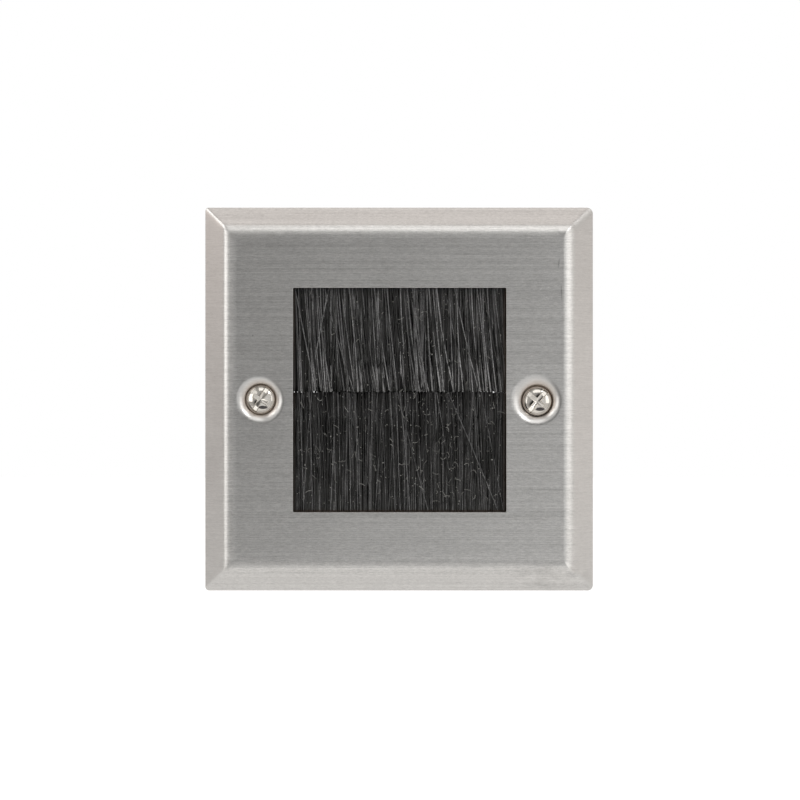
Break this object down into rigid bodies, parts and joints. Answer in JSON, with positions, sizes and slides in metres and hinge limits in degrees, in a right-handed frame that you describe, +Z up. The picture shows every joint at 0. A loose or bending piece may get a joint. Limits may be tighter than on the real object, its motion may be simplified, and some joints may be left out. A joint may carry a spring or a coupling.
{
  "type": "brush wall plate",
  "caption": "Square wall plate in brushed steel with bevelled edges, with a cable opening closed by facing strip brushes and a fixing screw at each side.",
  "frame": {"origin": "midway between the fixing screws' axes, on the wall plane that the plate's rim lies on", "axes": "+Y into the wall, so that the plate faces -Y, +X to the right as seen from the front, +Z up"},
  "size_m": [0.085, 0.0262, 0.084],
  "materials": {
    "brushed_steel": "satin, brushed along the width",
    "nickel_plate": "bright nickel plate",
    "black_bristle": "drawn nylon filament",
    "black_moulding": "fine moulded grain",
    "white_nylon": "plain",
    "zinc_channel": "galvanised",
    "plain_steel": "drawn wire and spring steel"
  },
  "bodies": {
    "root": {"face_plate": "brushed_steel", "rear_frame": "black_moulding", "upper_brush_channel": "zinc_channel", "upper_core_wire": "plain_steel", "upper_bristles": "black_bristle", "lower_brush_channel": "zinc_channel", "lower_core_wire": "plain_steel", "lower_bristles": "black_bristle", "screw_left": "nickel_plate", "screw_right": "nickel_plate", "screw_retainer_left": "white_nylon", "screw_retainer_right": "white_nylon", "weld_stud_top_left": "plain_steel", "weld_stud_top_right": "plain_steel", "weld_stud_bottom_left": "plain_steel", "weld_stud_bottom_right": "plain_steel", "push_nut_top_left": "plain_steel", "push_nut_top_right": "plain_steel", "push_nut_bottom_left": "plain_steel", "push_nut_bottom_right": "plain_steel"}
  },
  "joints": []
}
